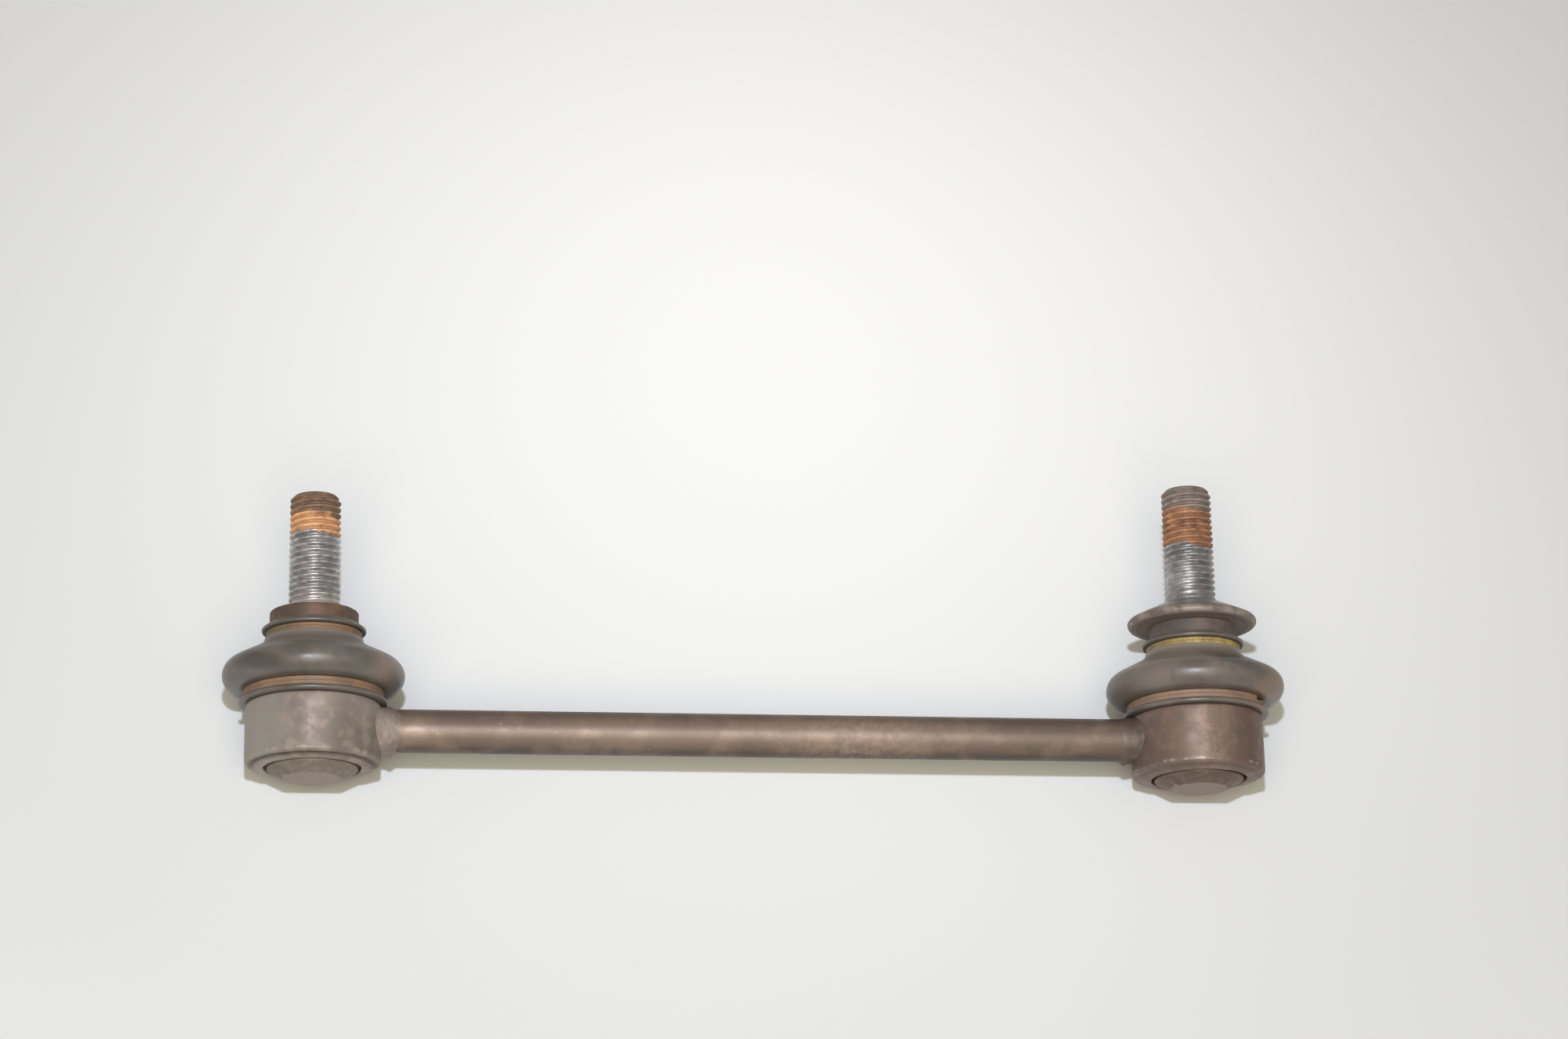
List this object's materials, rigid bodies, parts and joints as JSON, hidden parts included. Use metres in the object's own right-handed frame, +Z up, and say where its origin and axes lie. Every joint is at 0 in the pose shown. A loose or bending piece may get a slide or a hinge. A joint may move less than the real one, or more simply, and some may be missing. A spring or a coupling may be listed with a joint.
{
  "type": "stabilizer link",
  "caption": "Straight stabilizer link: a round rod welded between ball joints, each sealed by a rubber boot, with threaded studs that tilt and turn.",
  "frame": {"origin": "on the surface that the laid link rests on, under the middle of its box", "axes": "+X along the rod towards the stud with the cone washer, +Y along the surface the way the studs point, +Z up"},
  "size_m": [0.2478, 0.073, 0.0406],
  "materials": {
    "rod_steel": "worn brown steel",
    "weld_steel": "rough upset weld",
    "housing_steel": "mottled worn steel",
    "cap_steel": "dusty pressed steel",
    "seat_plastic": "greased moulding",
    "stud_steel": "zinc plate gone to rust at the tip",
    "washer_steel": "worn zinc plate",
    "boot_rubber": "dusty matte rubber",
    "ring_steel": "rusted spring wire"
  },
  "bodies": {
    "link": {"link_rod": "rod_steel", "left_weld": "weld_steel", "right_weld": "weld_steel", "left_housing": "housing_steel", "right_housing": "housing_steel", "left_end_cap": "cap_steel", "right_end_cap": "cap_steel", "left_ball_seat": "seat_plastic", "right_ball_seat": "seat_plastic", "left_boot_lower_ring": "ring_steel", "right_boot_lower_ring": "ring_steel"},
    "left_boot_body": {"left_boot": "boot_rubber"},
    "left_ring_body": {"left_boot_upper_ring": "ring_steel"},
    "left_stud_body": {"left_ball_stud": "stud_steel"},
    "right_boot_body": {"right_boot": "boot_rubber"},
    "right_ring_body": {"right_boot_upper_ring": "ring_steel"},
    "right_stud_body": {"right_ball_stud": "stud_steel", "right_cone_washer": "washer_steel"}
  },
  "joints": [
    {"name": "left_swing", "type": "hinge", "parent": "link", "child": "left_boot_body", "pos_m": [-0.103, -0.02383, 0.01696], "axis": [0, -0.2661, 0.964], "range_deg": [-18, 18], "deforming": ["left_boot"]},
    {"name": "left_sway", "type": "hinge", "parent": "left_boot_body", "child": "left_ring_body", "pos_m": [-0.103, -0.02383, 0.01696], "axis": [1, 0, 0], "range_deg": [-18, 18]},
    {"name": "left_spin", "type": "hinge", "parent": "left_ring_body", "child": "left_stud_body", "pos_m": [-0.103, -0.02383, 0.01696], "axis": [0, 0.964, 0.2661], "continuous": true},
    {"name": "right_swing", "type": "hinge", "parent": "link", "child": "right_boot_body", "pos_m": [0.103, -0.02383, 0.01696], "axis": [0, -0.2661, 0.964], "range_deg": [-18, 18], "deforming": ["right_boot"]},
    {"name": "right_sway", "type": "hinge", "parent": "right_boot_body", "child": "right_ring_body", "pos_m": [0.103, -0.02383, 0.01696], "axis": [1, 0, 0], "range_deg": [-18, 18]},
    {"name": "right_spin", "type": "hinge", "parent": "right_ring_body", "child": "right_stud_body", "pos_m": [0.103, -0.02383, 0.01696], "axis": [0, 0.964, 0.2661], "continuous": true}
  ]
}
